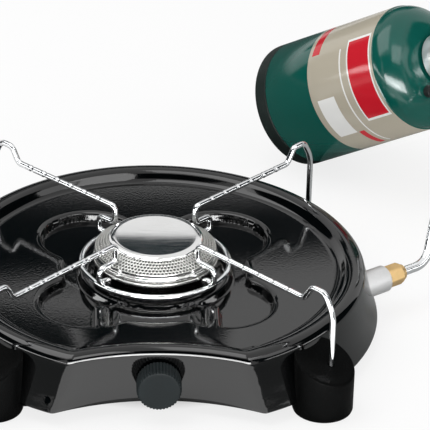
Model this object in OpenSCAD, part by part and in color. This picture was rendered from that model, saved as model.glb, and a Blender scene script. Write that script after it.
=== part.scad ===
// Single-burner propane camping stove with a bottle lying behind it. Millimetres, +Z up.
// Origin: on the burner axis, at the height of the table. Front (knob) is -Y.

/* [Pan] */
// Outer radius of the flat rim
rim_r = 150; // [140:1:160]
// Height of the rim above the table
rim_z = 51.4; // [48:0.2:56]
// How far the skirt's bottom edge stands outside the rim
skirt_flare = 14; // [10:0.5:18]
// Height of the skirt's bottom edge above the table
skirt_z = 9.5; // [7:0.5:13]
// Sheet thickness of the pan
sheet_t = 1.2; // [0.8:0.1:1.6]
// Width of the flat rim band
rim_band = 11.5; // [9:0.5:14]
// Height of the dish floor
dish_z = 44; // [43:0.2:46]
// Height of the floor of the four-lobed recess
lobe_z = 37.5; // [36.8:0.1:39]
// Radius of one lobe of the recess
lobe_r = 38; // [35:0.5:39]
// Sideways distance from the burner axis to a lobe's centre
lobe_off = 48; // [46:0.5:50]
// Radius of the round middle of the recess
recess_r = 70; // [66:0.5:74]
// Radius of the shallow front edge of the recess
strip_r = 78.5; // [76:0.5:80]
// Sideways distance from the middle to a ridge between front strip and lobe
ridge_x = 39; // [37:0.5:41]
// Width of such a ridge
ridge_w = 8; // [7:0.5:9]
// Distance in front of the burner axis at which a ridge starts
ridge_y = 54; // [52:0.5:56]
// Radius of the hollow in the front wall
scoop_r = 165; // [150:1:185]
// Depth of the hollow in the front wall, from the rim's circle
scoop_depth = 21; // [19.5:0.5:22.5]
// Radius of the drain hole beside the front left corner
drain_r = 2.6; // [2.2:0.1:3]
// Height of the drain hole
drain_z = 18.5; // [16:0.5:21]
// Place of the drain hole round the skirt, degrees
drain_turn = 241.4; // [239:0.2:242]
// Radius of the boss under the burner
boss_r = 56.5; // [54:0.5:58.5]
// Height of the shoulder of the boss
boss_z = 43; // [42:0.2:43.6]
// Radius of the raised top of the boss
boss_top_r = 48.5; // [46:0.5:49]
// Height of the top of the boss
boss_top_z = 46.5; // [46:0.1:47]

/* [Feet] */
// Radius of a foot
foot_r = 21.5; // [20.5:0.1:23]
// How far a foot's centre stands outside the skirt's bottom edge
foot_out = 4.5; // [3:0.5:6]
// How far a foot's high side overlaps the pan's wall
foot_bite = 6; // [5:0.5:7]
// Height of a foot where it meets the pan
foot_top = 46; // [44:0.5:48]
// Slope of the scooped top of a front foot, degrees
foot_slope = 24; // [20:0.5:28]
// Slope of the scooped top of a rear foot, degrees
rear_slope = 45; // [40:0.5:46]
// Turn of a foot from its leg towards the front or back, degrees
foot_turn = 1.6; // [0:0.1:2.5]
// Gap between a foot and the pan
foot_gap = 0.05; // [0.02:0.01:0.1]
// Height at which the foot's screw goes through the pan
foot_screw_z = 18; // [17:0.5:20]

/* [Grate] */
// Radius of the wire of an arm
wire_r = 2.15; // [2:0.05:2.3]
// Radius of the wire of the ring
ring_wire_r = 2; // [1.8:0.05:2.1]
// Radius of the ring, to the middle of its wire
ring_r = 53.9; // [53.5:0.1:54.5]
// Height of the middle of the ring
ring_z = 49.7; // [49.3:0.1:50.2]
// Height of the middle of the straight part of an arm
arm_z = 79; // [76:0.5:82]
// Height of the middle of the wire at the top of an arm's hump
hump_z = 88.6; // [87:0.2:92]
// How far the dip before the hump lies below the straight part
dip = 1.6; // [1:0.2:2.4]
// Distance from the burner axis to the inner end of the straight part
arm_in = 41.5; // [41:0.1:42.5]
// How far a leg stands outside its foot's centre
leg_out = 2; // [1:0.5:3]
// Height of a leg's lower end
leg_z = 16; // [14:0.5:18]
// Gap all round a leg in its foot
leg_gap = 0.35; // [0.3:0.05:0.6]

/* [Burner] */
// Outer radius of the burner's flange
flange_r = 45.6; // [44.6:0.1:45.8]
// Height of the bottom of the flange
flange_z = 52.8; // [52.2:0.2:53.4]
// Height of the lower edge of the perforated band
band_z = 62.4; // [61.4:0.2:63]
// Height of the upper edge of the perforated band
band_top = 69; // [67.5:0.2:71]
// Radius of the cap
cap_r = 34.5; // [33.5:0.1:35.5]
// Inside radius of the throat
throat_r = 7.9; // [7.6:0.1:8.2]
// Length of the throat below the bowl
throat_h = 4.5; // [4:0.1:4.8]
// Thickness of the burner's sheet
burner_t = 1.2; // [1:0.1:1.4]
// Distance from the burner axis to a burner screw
burner_screw_r = 27; // [25:0.5:29]

/* [Valve and knob] */
// Height of the valve's axis
valve_z = 27.5; // [26.5:0.1:28.5]
// Distance of the valve's middle behind the front wall
valve_back = 26; // [25:0.2:27]
// Radius of the knob
knob_r = 15.8; // [14.5:0.1:16.5]
// Distance from the front wall to the knob's face
knob_out = 16.4; // [15.5:0.1:18]
// Gap between the front wall and the knob's back
knob_gap = 2.2; // [2:0.1:2.6]
// Number of flutes round the knob
knob_flutes = 40; // [30:1:44]
// Radius of one flute
flute_r = 0.9; // [0.7:0.05:1]
// Radius of the stem
stem_r = 3; // [2.6:0.1:3.4]
// Running gap between a turning piece and its hole
run_gap = 0.06; // [0.03:0.01:0.09]

/* [Gas line] */
// Heading of the inlet, degrees back from +X
inlet_head = 34.53; // [33:0.1:36]
// How far the sleeve stands out of the pan's wall
sleeve_out = 14.3; // [12:0.2:17]
// How far the sleeve reaches into the pan
sleeve_in = 16.5; // [15:0.5:18]
// Radius of the sleeve
sleeve_r = 10; // [9.4:0.1:10.6]
// Length of the brass nut
nut_len = 17; // [15:0.5:18]
// Radius of the brass nut
nut_r = 8.3; // [7.8:0.1:8.8]
// Radius of the pipe
pipe_r = 3.5; // [3.2:0.1:3.8]
// Distance from the sleeve's outer end to the pipe's bend
bend_out = 40.2; // [38:0.2:43]
// Radius of the pipe's bend
bend_r = 22; // [16:1:26]

/* [Bottle] */
// Radius of the bottle
bottle_r = 50; // [48:0.2:52]
// Distance along the bottle to its shoulder
bottle_shoulder = 130.7; // [126:0.5:134]
// Distance along the bottle to the top of its dome
bottle_top = 154; // [151:0.5:155]
// Tilt of the bottle above the table, degrees
bottle_tilt = 31.7; // [30:0.1:33]
// Heading of the bottle, degrees
bottle_head = -40.1; // [-42:0.1:-38]
// Sideways place of the bottle's bottom
bottle_x = 122.1; // [120:0.5:124]
// Backward place of the bottle's bottom
bottle_y = 272.9; // [270:0.5:276]
// Wall of the bottle
bottle_wall = 1.2; // [0.8:0.1:1.6]
// Height of the dark ring at the bottom of the bottle
base_ring_h = 12.2; // [11:0.5:13]
// Thickness of that ring
base_ring_t = 4.6; // [4:0.2:5.4]
// Gap between that ring and the bottle's raised bottom
base_ring_gap = 0.8; // [0.4:0.1:1.2]
// Place of the relief valve round the dome, degrees
relief_turn = -52; // [-70:1:-40]
// Radius of the threaded neck
neck_r = 12.94; // [12.6:0.02:13.2]
// Radius of the regulator's socket
socket_r = 20; // [19:0.5:21]
// Radius of the regulator's waist
waist_r = 15; // [14.5:0.5:16]
// Radius of the regulator's flange and cap
reg_r = 26; // [25:0.5:27]

/* [Hidden] */
$fn = 96;
skirt_r = rim_r + skirt_flare;
front_y = rim_r - scoop_depth;
scoop_y = -front_y - scoop_r;
dish_r = rim_r - rim_band;
skirt_top_r = rim_r + 3;
skirt_top_z = rim_z - 4.4;
skirt_lean = atan((skirt_r - skirt_top_r) / (skirt_top_z - skirt_z));
function wall_r(z) = skirt_r - (z - skirt_z) * tan(skirt_lean);
foot_rad = skirt_r + foot_out;
leg_rad = foot_rad + leg_out;
foot_in = foot_rad - foot_r + foot_bite;
valve_y = front_y - valve_back;
knob_face = front_y + knob_out;
knob_back = front_y + knob_gap;
valve_p = [0, -valve_y, valve_z];
inlet_u = [cos(inlet_head), sin(inlet_head), 0];
inlet_exit = valve_y * inlet_u.y + sqrt(pow(wall_r(valve_z), 2) - pow(valve_y * inlet_u.x, 2));
sleeve_start = inlet_exit - sleeve_in;
sleeve_end = inlet_exit + sleeve_out;
tube_end = inlet_exit - 2.5;
tube_r = 4;
bend_at = sleeve_end + bend_out;
mix_end = valve_y - 19;
valve_thread_r = 6;
knob_socket_r = 10.2;
knob_socket_h = 5.2;
tilt_s = sin(bottle_tilt);
tilt_c = cos(bottle_tilt);
bottle_a = [tilt_c * cos(bottle_head), tilt_c * sin(bottle_head), tilt_s];
bottle_p = [bottle_x, bottle_y, bottle_r * tilt_c + 0.05];
reg_face = bottle_top + 2;
reg_in = reg_face + 29;
reg_p = bottle_p + reg_in * bottle_a;
bend_p = valve_p + bend_at * inlet_u;
pipe_u = (reg_p - bend_p) / norm(reg_p - bend_p);
ARMS = [225, 315, 135, 45];

// Shared helpers
function unit(v) = v / norm(v);

module aim(p, d) {
  translate(p)
    rotate([0, acos(d.z / norm(d)), atan2(d.y, d.x)])
      children();
}

module rod(a, b, r) {
  aim(a, b - a)
    cylinder(h = norm(b - a), r = r);
}

module ring_of(r_out, r_in, h) {
  difference() {
    cylinder(h = h, r = r_out);
    translate([0, 0, -1])
      cylinder(h = h + 2, r = r_in);
  }
}

module elbow(p0, p1, p2, r, br) {
  d1 = unit(p1 - p0);
  d2 = unit(p2 - p1);
  th = acos(d1 * d2);
  n = unit(d2 - d1 * (d1 * d2));
  c = p1 - d1 * br * tan(th / 2) + n * br;
  w = cross(-n, d1);
  multmatrix([[-n.x, d1.x, w.x, c.x],
              [-n.y, d1.y, w.y, c.y],
              [-n.z, d1.z, w.z, c.z],
              [0, 0, 0, 1]])
    rotate_extrude(angle = th)
      translate([br, 0])
        circle(r = r, $fn = 32);
}

function cut_back(p0, p1, p2, br) =
  br * tan(acos(unit(p1 - p0) * unit(p2 - p1)) / 2);

module bent_rod(p, r, br) {
  n = len(p);
  for (i = [0 : n - 2]) {
    d = unit(p[i + 1] - p[i]);
    s0 = i == 0 ? 0 : cut_back(p[i - 1], p[i], p[i + 1], br[i]);
    s1 = i == n - 2 ? 0 : cut_back(p[i], p[i + 1], p[i + 2], br[i + 1]);
    rod(p[i] + d * s0, p[i + 1] - d * s1, r, $fn = 32);
    if (i > 0)
      weld(p[i] + d * s0, d, r);
    if (i < n - 2)
      weld(p[i + 1] - d * s1, d, r);
  }
  for (i = [1 : n - 2])
    elbow(p[i - 1], p[i], p[i + 1], r, br[i]);
}

// A very low collar that joins a straight length to a bend
module weld(p, d, r) {
  aim(p - 0.25 * d, d)
    cylinder(h = 0.5, r = r + 0.05, $fn = 32);
}

module on_inlet(s) {
  translate(valve_p + s * inlet_u)
    rotate([0, 90, inlet_head])
      children();
}

module on_bottle(s) {
  translate(bottle_p + s * bottle_a)
    rotate([0, 90 - bottle_tilt, bottle_head])
      children();
}

module along_y(y0, y1, r) {
  translate([0, y1, valve_z])
    rotate([90, 0, 0])
      cylinder(h = y1 - y0, r = r);
}

// The pan: an outer body less the same body drawn one sheet smaller
module skirt_body(d, z0) {
  r0 = skirt_r + (skirt_z - z0) * tan(skirt_lean);
  rotate_extrude($fn = 128)
    polygon([[0, z0], [r0 - d, z0], [skirt_top_r - d, skirt_top_z],
             [rim_r - d * 0.6, rim_z - d], [0, rim_z - d]]);
}

module dish_cut(d) {
  difference() {
    rotate_extrude($fn = 128)
      polygon([[0, dish_z - d], [dish_r - 7 + d, dish_z - d], [dish_r - 4 + d, rim_z - 1.5 - d],
               [dish_r + d, rim_z - d], [dish_r + d, rim_z + 5], [0, rim_z + 5]]);
    translate([0, scoop_y, 0])
      cylinder(h = 100, r = scoop_r + rim_band - d, $fn = 128);
  }
}

module clover_cut(d) {
  translate([0, 0, lobe_z - d])
    linear_extrude(height = dish_z - lobe_z + 1)
      difference() {
        union() {
          circle(r = recess_r + d);
          for (x = [-1, 1], y = [-1, 1])
            translate([x * lobe_off, y * lobe_off])
              circle(r = lobe_r + d);
          intersection() {
            circle(r = strip_r + d);
            translate([-ridge_x, -strip_r - 5])
              square([2 * ridge_x, strip_r + 5]);
          }
        }
        for (x = [-1, 1])
          translate([x * ridge_x - ridge_w / 2 + d, -rim_r])
            square([ridge_w - 2 * d, rim_r - ridge_y - d]);
      }
}

module boss(d) {
  z0 = lobe_z - d - 2 * (d > 0 ? 1 : 0.2);
  translate([0, 0, z0])
    cylinder(h = boss_z - d - z0, r = boss_r - d);
  translate([0, 0, z0])
    cylinder(h = boss_top_z - d - z0, r = boss_top_r - d);
}

module pressing(d) {
  difference() {
    skirt_body(d, d > 0 ? skirt_z - 3 : skirt_z);
    translate([0, scoop_y, -1])
      cylinder(h = 100, r = scoop_r + d, $fn = 128);
    dish_cut(d);
    clover_cut(d);
  }
  boss(d);
}

module base_pan() {
  color([0.05, 0.05, 0.055])
    difference() {
      pressing(0);
      pressing(sheet_t);
      cylinder(h = 100, r = throat_r + 4);
      along_y(-front_y - 8, -front_y + 8, valve_thread_r + 0.2);
      on_wall(drain_turn, drain_z, -10)
        cylinder(h = 20, r = drain_r, $fn = 32);
      on_inlet(inlet_exit - 12)
        cylinder(h = 40, r = sleeve_r + 0.4);
      for (x = [-1, 1])
        translate([x * burner_screw_r, 0, 0])
          cylinder(h = 100, r = 1.9, $fn = 32);
      for (a = ARMS)
        on_wall(a, foot_screw_z, -20)
          cylinder(h = 40, r = 2.2, $fn = 32);
    }
}

// A place on the skirt, with Z square to it
module on_wall(a, z, back) {
  rotate([0, 0, a])
    translate([wall_r(z), 0, z])
      rotate([0, 90 - skirt_lean, 0])
        translate([0, 0, back])
          children();
}

// Feet and their screws
module foot(a, turn, slope) {
  color([0.07, 0.07, 0.075])
    difference() {
      rotate([0, 0, a + turn])
        translate([foot_rad, 0, 0])
          cylinder(h = foot_top, r = foot_r);
      skirt_body(-foot_gap, skirt_z - foot_gap);
      rotate([0, 0, a + turn])
        translate([foot_in, 0, foot_top])
          rotate([0, slope, 0])
            translate([-2 * foot_r, -2 * foot_r, 0])
              cube([6 * foot_r, 4 * foot_r, 2 * foot_top]);
      rotate([0, 0, a])
        translate([leg_rad, 0, leg_z - 0.05])
          cylinder(h = foot_top, r = wire_r + leg_gap, $fn = 32);
      on_wall(a, foot_screw_z, -5)
        cylinder(h = 11, r = 1.9, $fn = 32);
    }
}

module foot_front_left() {
  foot(ARMS[0], foot_turn, foot_slope);
}

module foot_front_right() {
  foot(ARMS[1], -foot_turn, foot_slope);
}

module foot_rear_left() {
  foot(ARMS[2], -foot_turn, rear_slope);
}

module foot_rear_right() {
  foot(ARMS[3], foot_turn, rear_slope);
}

module foot_screws() {
  color([0.75, 0.75, 0.76])
    for (a = ARMS) {
      on_wall(a, foot_screw_z, -sheet_t - 2.7)
        cylinder(h = 2.5, r = 3.8, $fn = 32);
      on_wall(a, foot_screw_z, -sheet_t - 1)
        cylinder(h = 7.5, r = 1.85, $fn = 32);
    }
}

// Burner
module burner_bowl() {
  z = boss_top_z + 0.02;
  color([0.78, 0.78, 0.77])
    difference() {
      rotate_extrude()
        polygon([[throat_r, z - throat_h], [throat_r + burner_t, z - throat_h], [throat_r + burner_t, z],
                 [flange_r - 9, z], [flange_r - 3, flange_z], [flange_r, flange_z],
                 [flange_r, flange_z + 2.6], [flange_r - 4.4, flange_z + 2.6],
                 [flange_r - 9 - burner_t, z + burner_t], [throat_r, z + burner_t]]);
      for (x = [-1, 1])
        translate([x * burner_screw_r, 0, 0])
          cylinder(h = 52, r = 1.9, $fn = 32);
    }
}

module burner_ring() {
  z = flange_z + 2.62;
  color([0.82, 0.82, 0.81])
    rotate_extrude()
      polygon([[flange_r - 4.4, z], [flange_r - 1.4, z], [flange_r - 0.4, z + 0.9], [flange_r - 0.4, z + 3],
               [flange_r - 1.6, z + 4.2], [flange_r - 1.4, band_z - 0.02], [flange_r - 4.4, band_z - 0.02]]);
}

module burner_band() {
  color([0.62, 0.63, 0.62])
    rotate_extrude()
      polygon([[flange_r - 2.4, band_z], [flange_r - 1.4, band_z], [cap_r, band_top],
               [cap_r - 1.0, band_top]]);
}

module burner_cap() {
  z = band_top + 0.02;
  color([0.86, 0.86, 0.85])
    rotate_extrude()
      polygon([[0, z + 0.4], [cap_r - 6, z + 0.8], [cap_r - 3, z], [cap_r, z], [cap_r + 0.1, z + 0.7],
               [cap_r - 0.8, z + 1.6], [cap_r - 2.6, z + 2], [cap_r - 5.5, z + 2], [0, z + 1.55]]);
}

module burner_screws() {
  z = boss_top_z + burner_t + 0.06;
  color([0.8, 0.8, 0.8])
    for (x = [-1, 1])
      translate([x * burner_screw_r, 0, 0]) {
        translate([0, 0, z])
          cylinder(h = 2.2, r = 3.4, $fn = 32);
        translate([0, 0, z - 8])
          cylinder(h = 9, r = 1.8, $fn = 32);
      }
}

module burner_nuts() {
  color([0.7, 0.7, 0.7])
    for (x = [-1, 1])
      translate([x * burner_screw_r, 0, boss_top_z - sheet_t - 2.85])
        difference() {
          cylinder(h = 2.8, r = 3.6, $fn = 6);
          translate([0, 0, -1])
            cylinder(h = 6, r = 1.84, $fn = 32);
        }
}

// Mixing tube from the jet to the burner's throat
module mix_path(r, y0, z1) {
  b = 14;
  translate([0, -b, valve_z])
    rotate([90, 0, 0])
      cylinder(h = y0 - b, r = r);
  elbow([0, -40, valve_z], [0, 0, valve_z], [0, 0, valve_z + 40], r, b);
  translate([0, 0, valve_z + b])
    cylinder(h = z1 - valve_z - b, r = r);
}

module mixing_tube() {
  r = throat_r - run_gap;
  color([0.7, 0.71, 0.72])
    difference() {
      mix_path(r, mix_end, boss_top_z);
      mix_path(r - 1, mix_end + 1, boss_top_z + 1);
      for (a = [0, 90])
        translate([0, 8 - mix_end, valve_z])
          rotate([0, a, 0])
            cylinder(h = 40, r = 3.5, center = true, $fn = 32);
    }
}

module air_shutter() {
  color([0.8, 0.8, 0.8])
    translate([0, 20 - mix_end, valve_z])
      rotate([90, 0, 0])
        ring_of(throat_r + 0.6, throat_r, 7);
}

// Valve, stem, needle, knob
module gas_jet() {
  color([0.85, 0.68, 0.36])
    difference() {
      union() {
        along_y(-valve_y + 9, -valve_y + 17, 3.4);
        along_y(-valve_y + 13.05, -valve_y + 20.5, 4.6);
      }
      along_y(-valve_y + 8, -valve_y + 19, 1.2);
      along_y(-valve_y + 8, -valve_y + 22, 0.35, $fn = 24);
    }
}

module valve_body() {
  color([0.8, 0.64, 0.34])
    difference() {
      union() {
        along_y(-valve_y - 15, -valve_y + 13, 9.5);
        along_y(-front_y - 4.4, -valve_y, valve_thread_r);
        on_inlet(0)
          cylinder(h = 17, r = 6.2);
      }
      along_y(-front_y - 6, -valve_y - 3, stem_r + run_gap);
      along_y(-valve_y - 9, -valve_y + 1, 4.4);
      along_y(-valve_y - 1, -valve_y + 10, 1.6);
      along_y(-valve_y + 5, -valve_y + 15, 3.45);
      on_inlet(0)
        cylinder(h = 10, r = 2.2);
      on_inlet(9)
        cylinder(h = 10, r = tube_r + 0.05);
    }
}

module mount_nut() {
  color([0.8, 0.8, 0.8])
    translate([0, -front_y - 0.34, valve_z])
      rotate([90, 0, 0])
        difference() {
          cylinder(h = 3.6, r = 9, $fn = 6);
          translate([0, 0, -1])
            cylinder(h = 8, r = valve_thread_r + 0.05);
        }
}

module valve_stem() {
  color([0.78, 0.62, 0.32])
    difference() {
      along_y(-knob_face + 4, -valve_y - 8, stem_r);
      along_y(-valve_y - 17, -valve_y - 7, 1.55, $fn = 48);
    }
}

module valve_needle() {
  color([0.8, 0.8, 0.8]) {
    along_y(-valve_y - 14, -valve_y - 3, 1.5, $fn = 48);
    translate([0, -valve_y - 3, valve_z])
      rotate([-90, 0, 0])
        cylinder(h = 4.6, r1 = 1.5, r2 = 0.4, $fn = 48);
  }
}

module control_knob() {
  color([0.16, 0.19, 0.2])
    difference() {
      union() {
        along_y(-knob_face, -knob_back, knob_r - 1);
        along_y(-knob_face + 1.5, -knob_back, knob_r);
      }
      for (i = [0 : knob_flutes - 1])
        translate([0, 0, valve_z])
          rotate([0, (i + 0.5) * 360 / knob_flutes, 0])
            translate([0, -knob_face - 1, knob_r + flute_r / 3])
              rotate([-90, 0, 0])
                cylinder(h = 2 * knob_out, r = flute_r, $fn = 24);
      along_y(-knob_back - knob_socket_h, -knob_back + 1, knob_socket_r);
      along_y(-knob_face + 3.6, -knob_back, stem_r + 0.02);
    }
}

// Gas line
module inlet_tube() {
  color([0.75, 0.75, 0.74])
    difference() {
      on_inlet(11)
        cylinder(h = tube_end - 11, r = tube_r);
      on_inlet(10)
        cylinder(h = tube_end - 9, r = tube_r - burner_t);
    }
}

module inlet_sleeve() {
  e = sleeve_end;
  color([0.86, 0.86, 0.86])
    difference() {
      union() {
        on_inlet(sleeve_start)
          cylinder(h = e - sleeve_start, r = sleeve_r);
        on_inlet(e - 1)
          cylinder(h = 7, r = 5.6);
      }
      on_inlet(sleeve_start - 1)
        cylinder(h = tube_end - sleeve_start + 1.05, r = tube_r + 0.04);
      on_inlet(tube_end - 5)
        cylinder(h = 40, r = 2.4);
      on_inlet(e - 8)
        cylinder(h = 20, r = pipe_r + run_gap);
    }
}

module coupling_nut() {
  e = sleeve_end + 0.3;
  color([0.88, 0.72, 0.42])
    difference() {
      union() {
        on_inlet(e)
          cylinder(h = nut_len - 3, r = nut_r, $fn = 6);
        on_inlet(e)
          cylinder(h = nut_len - 2.4, r = nut_r * 0.9);
        on_inlet(e + nut_len - 2.5)
          cylinder(h = 2.5, r = nut_r * 0.72);
      }
      on_inlet(e - 1)
        cylinder(h = 11.6, r = 5.9);
      on_inlet(e)
        cylinder(h = 30, r = pipe_r + run_gap);
    }
}

module pipe_ferrule() {
  color([0.85, 0.7, 0.4])
    on_inlet(sleeve_end + 6.6)
      ring_of(5.4, pipe_r + 0.03, 3.6);
}

module supply_pipe() {
  p = [valve_p + (sleeve_end - 6) * inlet_u, bend_p, reg_p - 16 * pipe_u];
  color([0.8, 0.81, 0.82])
    difference() {
      bent_rod(p, pipe_r, [0, bend_r, 0]);
      bent_rod([p[0] - inlet_u, bend_p, p[2] + pipe_u], pipe_r - 1, [0, bend_r, 0]);
    }
}

// Regulator on the neck of the bottle
module regulator_body() {
  color([0.8, 0.81, 0.82])
    difference() {
      union() {
        on_bottle(reg_face)
          cylinder(h = 23, r = socket_r);
        on_bottle(reg_face + 22)
          cylinder(h = 20, r = waist_r);
        on_bottle(reg_face + 38)
          cylinder(h = 11, r = reg_r);
        aim(reg_p, -pipe_u)
          cylinder(h = 30, r = 7);
      }
      on_bottle(reg_face - 1)
        cylinder(h = 18, r = neck_r + run_gap);
      on_bottle(reg_face + 10)
        cylinder(h = 40, r = 2);
      on_bottle(reg_face + 42)
        cylinder(h = 20, r = reg_r - 4);
      aim(reg_p, -pipe_u)
        cylinder(h = 20, r = 2);
      aim(reg_p, -pipe_u)
        translate([0, 0, 15.9])
          cylinder(h = 30, r = pipe_r + 0.03);
    }
}

module regulator_seal() {
  color([0.06, 0.06, 0.06])
    on_bottle(reg_face + 15.4)
      ring_of(neck_r - 0.2, 5, 1.55);
}

module regulator_diaphragm() {
  color([0.1, 0.1, 0.1])
    on_bottle(reg_face + 49.02)
      cylinder(h = 1, r = reg_r - 0.4);
}

module regulator_cap() {
  color([0.12, 0.13, 0.13])
    difference() {
      union() {
        on_bottle(reg_face + 50.04)
          cylinder(h = 6, r = reg_r);
        on_bottle(reg_face + 55)
          cylinder(h = 7, r = reg_r - 4);
      }
      on_bottle(reg_face + 49)
        cylinder(h = 10.5, r = reg_r - 6.5);
      on_bottle(reg_face + 49)
        cylinder(h = 20, r = 1, $fn = 24);
    }
}

module regulator_spring() {
  color([0.75, 0.75, 0.75])
    on_bottle(reg_face + 50.06)
      ring_of(8, 6.6, 9.4);
}

// Bottle
function dome(r0, z0, r1, z1) =
  [for (i = [0 : 6]) [r1 + (r0 - r1) * cos(i * 15), z0 + (z1 - z0) * sin(i * 15)]];

function dome_back(r0, z0, r1, z1) =
  [for (i = [6 : -1 : 0]) [r1 + (r0 - r1) * cos(i * 15), z0 + (z1 - z0) * sin(i * 15)]];

// A place on the fifth flat of the dome, with Z square to it
module on_dome(h) {
  d = dome(bottle_r, bottle_shoulder, 16, bottle_top);
  m = (d[4] + d[5]) / 2;
  on_bottle(0)
    rotate([0, 0, relief_turn])
      translate([m.x, 0, m.y])
        rotate([0, atan((d[5].y - d[4].y) / (d[4].x - d[5].x)), 0])
          translate([0, 0, h])
            children();
}

module cylinder_shell() {
  w = bottle_wall;
  h = base_ring_h + 0.02;
  seat = bottle_r - base_ring_t - base_ring_gap;
  out = concat([[0, 4], [seat - 8.6, 4], [seat, h], [bottle_r, h]],
               dome(bottle_r, bottle_shoulder, 16, bottle_top), [[11, bottle_top]]);
  inn = concat([[11, bottle_top - w]], dome_back(bottle_r - w, bottle_shoulder, 15, bottle_top - w),
               [[bottle_r - w, h + w], [seat - 0.4, h + w], [seat - 9, 4 + w], [0, 4 + w]]);
  color([0.03, 0.33, 0.29])
    difference() {
      on_bottle(0)
        rotate_extrude()
          polygon(concat(out, inn));
      on_dome(-10)
        cylinder(h = 20, r = 2, $fn = 32);
    }
}

module cylinder_base_ring() {
  color([0.13, 0.14, 0.14])
    on_bottle(0)
      ring_of(bottle_r, bottle_r - base_ring_t, base_ring_h);
}

module cylinder_valve() {
  color([0.8, 0.66, 0.38])
    difference() {
      union() {
        on_bottle(bottle_top + 0.02)
          cylinder(h = 15.8, r = neck_r);
        on_bottle(bottle_top - 6)
          cylinder(h = 10, r = 10.95);
      }
      on_bottle(bottle_top - 8)
        cylinder(h = 40, r = 2.5, $fn = 32);
      on_bottle(bottle_top + 8)
        cylinder(h = 20, r = 7);
    }
}

module relief_valve() {
  color([0.1, 0.11, 0.11]) {
    on_dome(0.03)
      cylinder(h = 5, r = 4.8, $fn = 48);
    on_dome(4.9)
      cylinder(h = 1.6, r = 2.4, $fn = 32);
    on_dome(-4)
      cylinder(h = 5, r = 1.94, $fn = 32);
  }
}

// Grate
module grate_ring() {
  color([0.85, 0.85, 0.86])
    translate([0, 0, ring_z])
      rotate_extrude($fn = 128)
        translate([ring_r, 0])
          circle(r = ring_wire_r, $fn = 32);
}

module grate_arm(a) {
  over = ring_z + ring_wire_r + wire_r + 0.05;
  q = [[ring_r - 6.3, over - 2.8], [ring_r - 3.3, over], [ring_r + 4.3, over], [ring_r + 4.3, over + 11.3],
       [arm_in, over + 11.9], [arm_in, arm_z], [leg_rad - 27, arm_z - dip], [leg_rad - 20, hump_z],
       [leg_rad - 8.5, hump_z], [leg_rad, hump_z - 14.6], [leg_rad, leg_z]];
  p = [for (v = q) [v.x * cos(a), v.x * sin(a), v.y]];
  color([0.84, 0.84, 0.85])
    bent_rod(p, wire_r, [0, 2.5, 3, 5, 4, 4.5, 5, 5, 7, 28, 0]);
}

module grate_arm_front_left() {
  grate_arm(ARMS[0]);
}

module grate_arm_front_right() {
  grate_arm(ARMS[1]);
}

module grate_arm_rear_left() {
  grate_arm(ARMS[2]);
}

module grate_arm_rear_right() {
  grate_arm(ARMS[3]);
}

base_pan();
foot_front_left();
foot_front_right();
foot_rear_left();
foot_rear_right();
foot_screws();
burner_bowl();
burner_ring();
burner_band();
burner_cap();
burner_screws();
burner_nuts();
mixing_tube();
air_shutter();
gas_jet();
valve_body();
mount_nut();
valve_stem();
valve_needle();
control_knob();
inlet_tube();
inlet_sleeve();
coupling_nut();
pipe_ferrule();
supply_pipe();
regulator_body();
regulator_cap();
regulator_diaphragm();
regulator_spring();
regulator_seal();
cylinder_shell();
cylinder_base_ring();
cylinder_valve();
relief_valve();
grate_ring();
grate_arm_front_left();
grate_arm_front_right();
grate_arm_rear_left();
grate_arm_rear_right();
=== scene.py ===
import math

import bmesh
import bpy
from bpy.props import FloatProperty, FloatVectorProperty, IntProperty, PointerProperty
from mathutils import Matrix, Vector


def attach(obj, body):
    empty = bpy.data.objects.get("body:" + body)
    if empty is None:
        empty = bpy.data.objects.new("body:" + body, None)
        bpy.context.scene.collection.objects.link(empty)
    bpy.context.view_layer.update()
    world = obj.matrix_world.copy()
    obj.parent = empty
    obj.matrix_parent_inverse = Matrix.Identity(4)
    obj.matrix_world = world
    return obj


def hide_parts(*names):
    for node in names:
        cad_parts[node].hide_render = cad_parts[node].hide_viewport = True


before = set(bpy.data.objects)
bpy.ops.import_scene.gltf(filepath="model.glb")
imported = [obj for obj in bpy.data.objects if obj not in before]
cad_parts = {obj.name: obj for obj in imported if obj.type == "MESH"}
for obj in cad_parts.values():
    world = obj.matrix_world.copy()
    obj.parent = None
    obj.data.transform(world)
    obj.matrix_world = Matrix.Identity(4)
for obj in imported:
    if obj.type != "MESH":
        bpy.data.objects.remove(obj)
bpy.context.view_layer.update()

bl_info = {
    "name": "Camping stove",
    "version": (1, 0, 0),
    "blender": (4, 5, 0),
    "location": "View3D > Sidebar > Stove",
    "description": "Dresses a propane camping stove with its pan, grate, burner, gas line and bottle",
    "category": "Object",
}

MM = 0.001

# Heights and radii of the pan, in millimetres from the burner axis and the table
SKIRT_R, SKIRT_Z = 164.0, 9.5
WALL_TOP_R, WALL_TOP_Z = 153.0, 47.0
WALL_LEAN = (SKIRT_R - WALL_TOP_R) / (WALL_TOP_Z - SKIRT_Z)
RIM_Z = 51.4
FRONT_Y, SCOOP_R = 129.0, 165.0
SCOOP_Y = -FRONT_Y - SCOOP_R
DISH_Z, LOBE_Z = 44.0, 37.5
LOBE_R, LOBE_OFF, RECESS_R, STRIP_R = 38.0, 48.0, 70.0, 78.5
RIDGE_X, RIDGE_W, RIDGE_Y = 39.0, 8.0, 54.0
BOSS_R, BOSS_Z, BOSS_TOP_R, BOSS_TOP_Z = 56.5, 43.0, 48.5, 46.5
PAN_HOLE_R = 11.9
DRAIN_R, DRAIN_Z, DRAIN_TURN = 2.6, 18.5, 241.4
SHEET_T = 1.2
CORNER_BLEND, LOBE_BLEND, STRIP_BLEND, RIDGE_BLEND, RIDGE_EDGE = 2.5, 5.0, 4.0, 5.0, 2.0

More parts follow.
